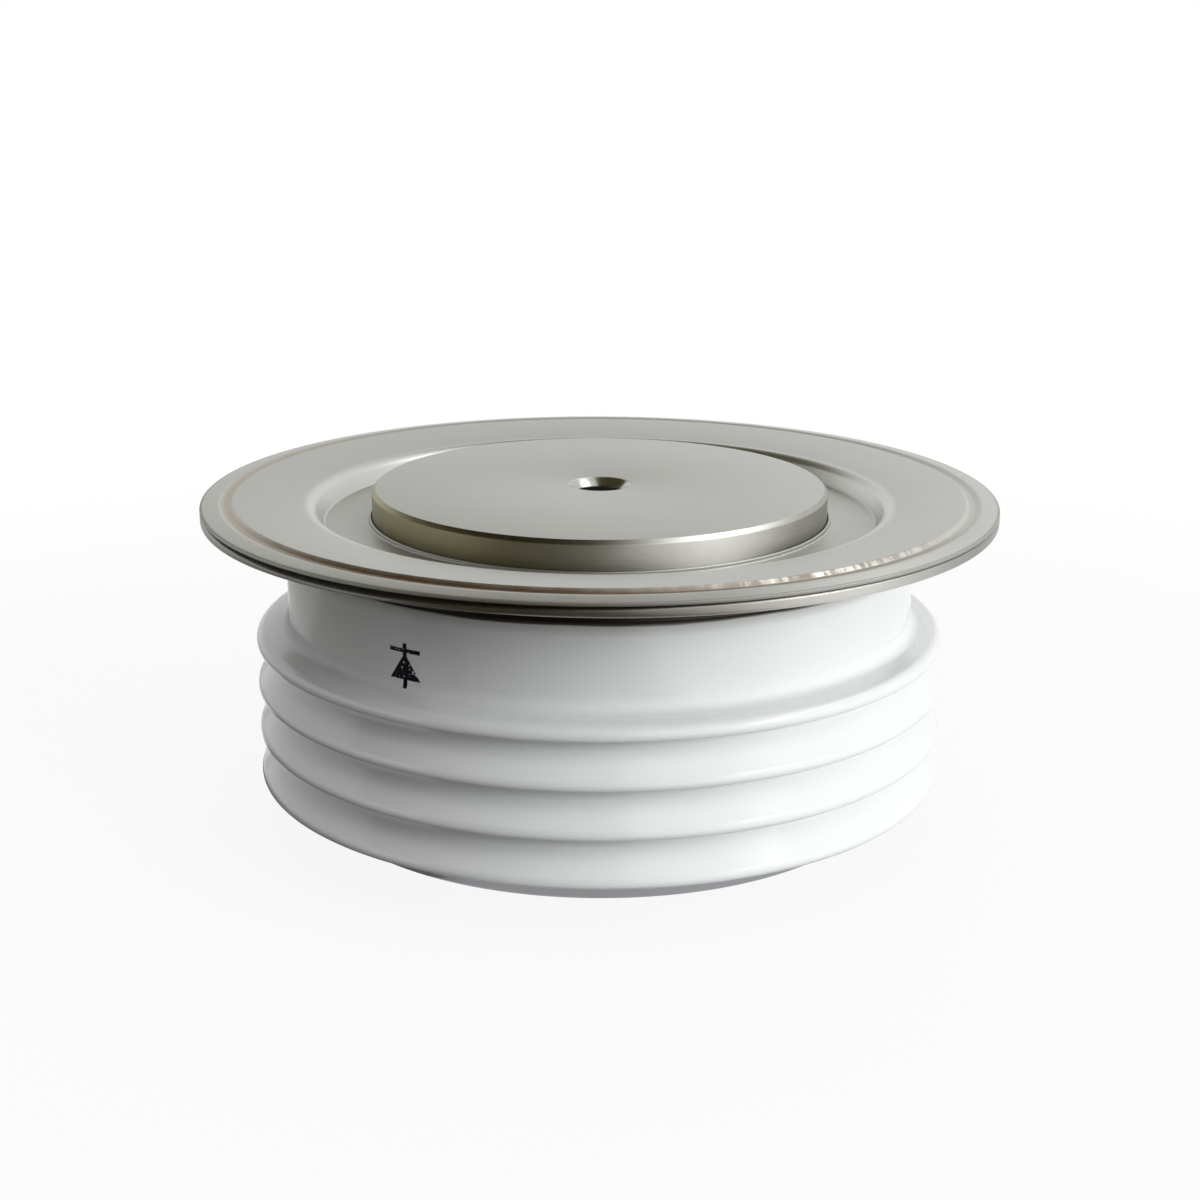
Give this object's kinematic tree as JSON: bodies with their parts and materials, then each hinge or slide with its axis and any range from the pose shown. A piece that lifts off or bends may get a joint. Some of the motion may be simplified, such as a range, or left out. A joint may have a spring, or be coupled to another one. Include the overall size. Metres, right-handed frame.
{
  "type": "rectifier diode",
  "caption": "Disc rectifier diode: a ribbed white ceramic capsule with round metal contact faces and a welded rim, clamped between heat sinks to pass heavy current one way.",
  "frame": {"origin": "centre of the anode contact face, at the bottom of the part", "axes": "+Z along the axis of the disc, from the anode face to the cathode face"},
  "size_m": [0.059, 0.059, 0.0254],
  "materials": {
    "nickel_plate": "matte nickel plating on turned copper",
    "rim_sheet": "matte nickel-plated sheet, stained brown in the weld groove",
    "glazed_alumina": "glossy white glaze",
    "silicon": "polished grey silicon",
    "silicone_rubber": "translucent cured rubber",
    "molybdenum": "fine ground grey metal",
    "white_plastic": "smooth white plastic"
  },
  "bodies": {
    "root": {"cathode_pole": "nickel_plate", "lid_diaphragm": "rim_sheet", "weld_flange": "rim_sheet", "ceramic_insulator": "glazed_alumina", "base_ring": "rim_sheet", "anode_pole": "nickel_plate", "silicon_wafer": "silicon", "edge_bead": "silicone_rubber", "anode_molybdenum": "molybdenum", "cathode_molybdenum": "molybdenum", "locating_ring": "white_plastic"}
  },
  "joints": []
}
